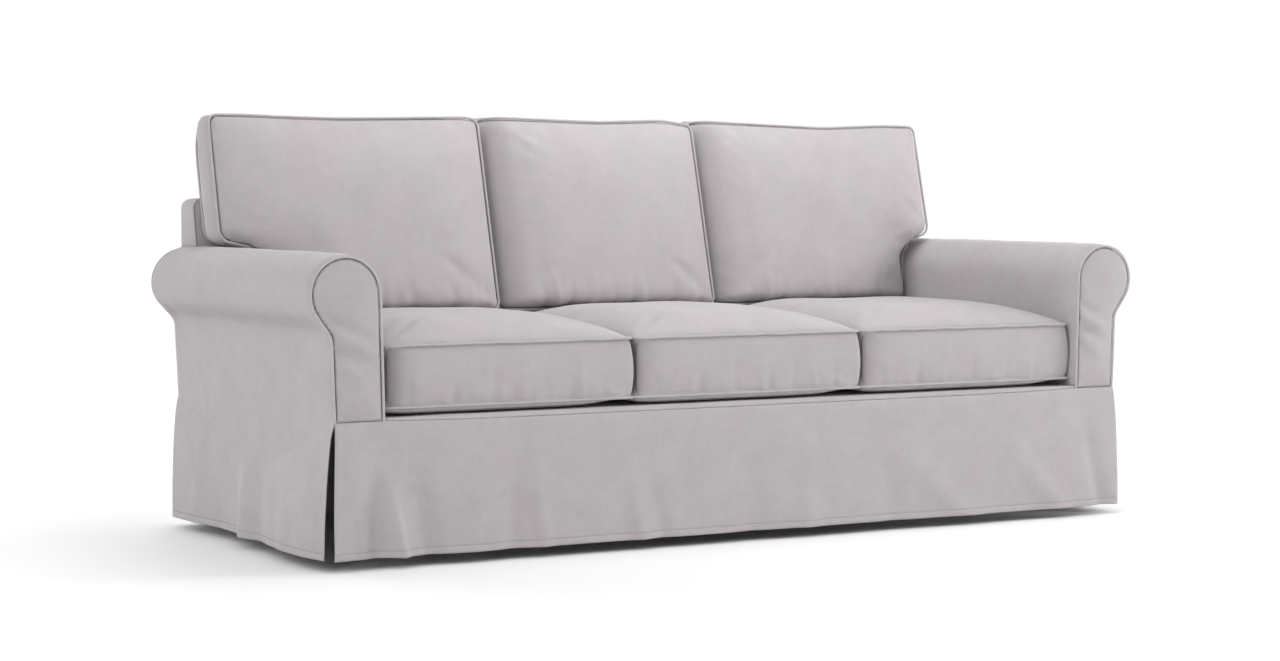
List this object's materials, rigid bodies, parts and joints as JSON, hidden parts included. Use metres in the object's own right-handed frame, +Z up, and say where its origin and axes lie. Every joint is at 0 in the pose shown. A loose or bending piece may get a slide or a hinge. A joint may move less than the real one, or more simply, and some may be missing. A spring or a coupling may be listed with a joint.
{
  "type": "sofa slipcover",
  "caption": "Fitted, skirted slipcover for a sofa with rolled arms, slit at its corners and hollow below, with boxed seat and back cushions edged in welt.",
  "frame": {"origin": "underside of the seat deck, in the middle of the seat from side to side and half way from the arm fronts to the outside back, where the sofa's frame carries the cover", "axes": "+X towards the right arm as seen from the front, +Y towards the back, +Z up"},
  "size_m": [2.158, 0.9178, 0.9137],
  "materials": {
    "cover_cloth": "matte woven cloth, warm grey",
    "cushion_cloth": "matte woven cloth, warm grey, filled",
    "welt_cloth": "matte woven cloth over cord, warm grey"
  },
  "bodies": {
    "root": {"arm_cover_left": "cover_cloth", "arm_cover_right": "cover_cloth", "arm_front_left": "cover_cloth", "arm_front_right": "cover_cloth", "arm_welt_left": "welt_cloth", "arm_welt_right": "welt_cloth", "back_border": "cover_cloth", "back_cushion_left": "cushion_cloth", "back_cushion_middle": "cushion_cloth", "back_cushion_right": "cushion_cloth", "back_welt_front_left": "welt_cloth", "back_welt_front_middle": "welt_cloth", "back_welt_front_right": "welt_cloth", "back_welt_rear_left": "welt_cloth", "back_welt_rear_middle": "welt_cloth", "back_welt_rear_right": "welt_cloth", "front_skirt": "cover_cloth", "inside_back": "cover_cloth", "outside_back": "cover_cloth", "seat_cushion_left": "cushion_cloth", "seat_cushion_middle": "cushion_cloth", "seat_cushion_right": "cushion_cloth", "seat_deck": "cover_cloth", "seat_welt_bottom_left": "welt_cloth", "seat_welt_bottom_middle": "welt_cloth", "seat_welt_bottom_right": "welt_cloth", "seat_welt_top_left": "welt_cloth", "seat_welt_top_middle": "welt_cloth", "seat_welt_top_right": "welt_cloth"}
  },
  "joints": []
}
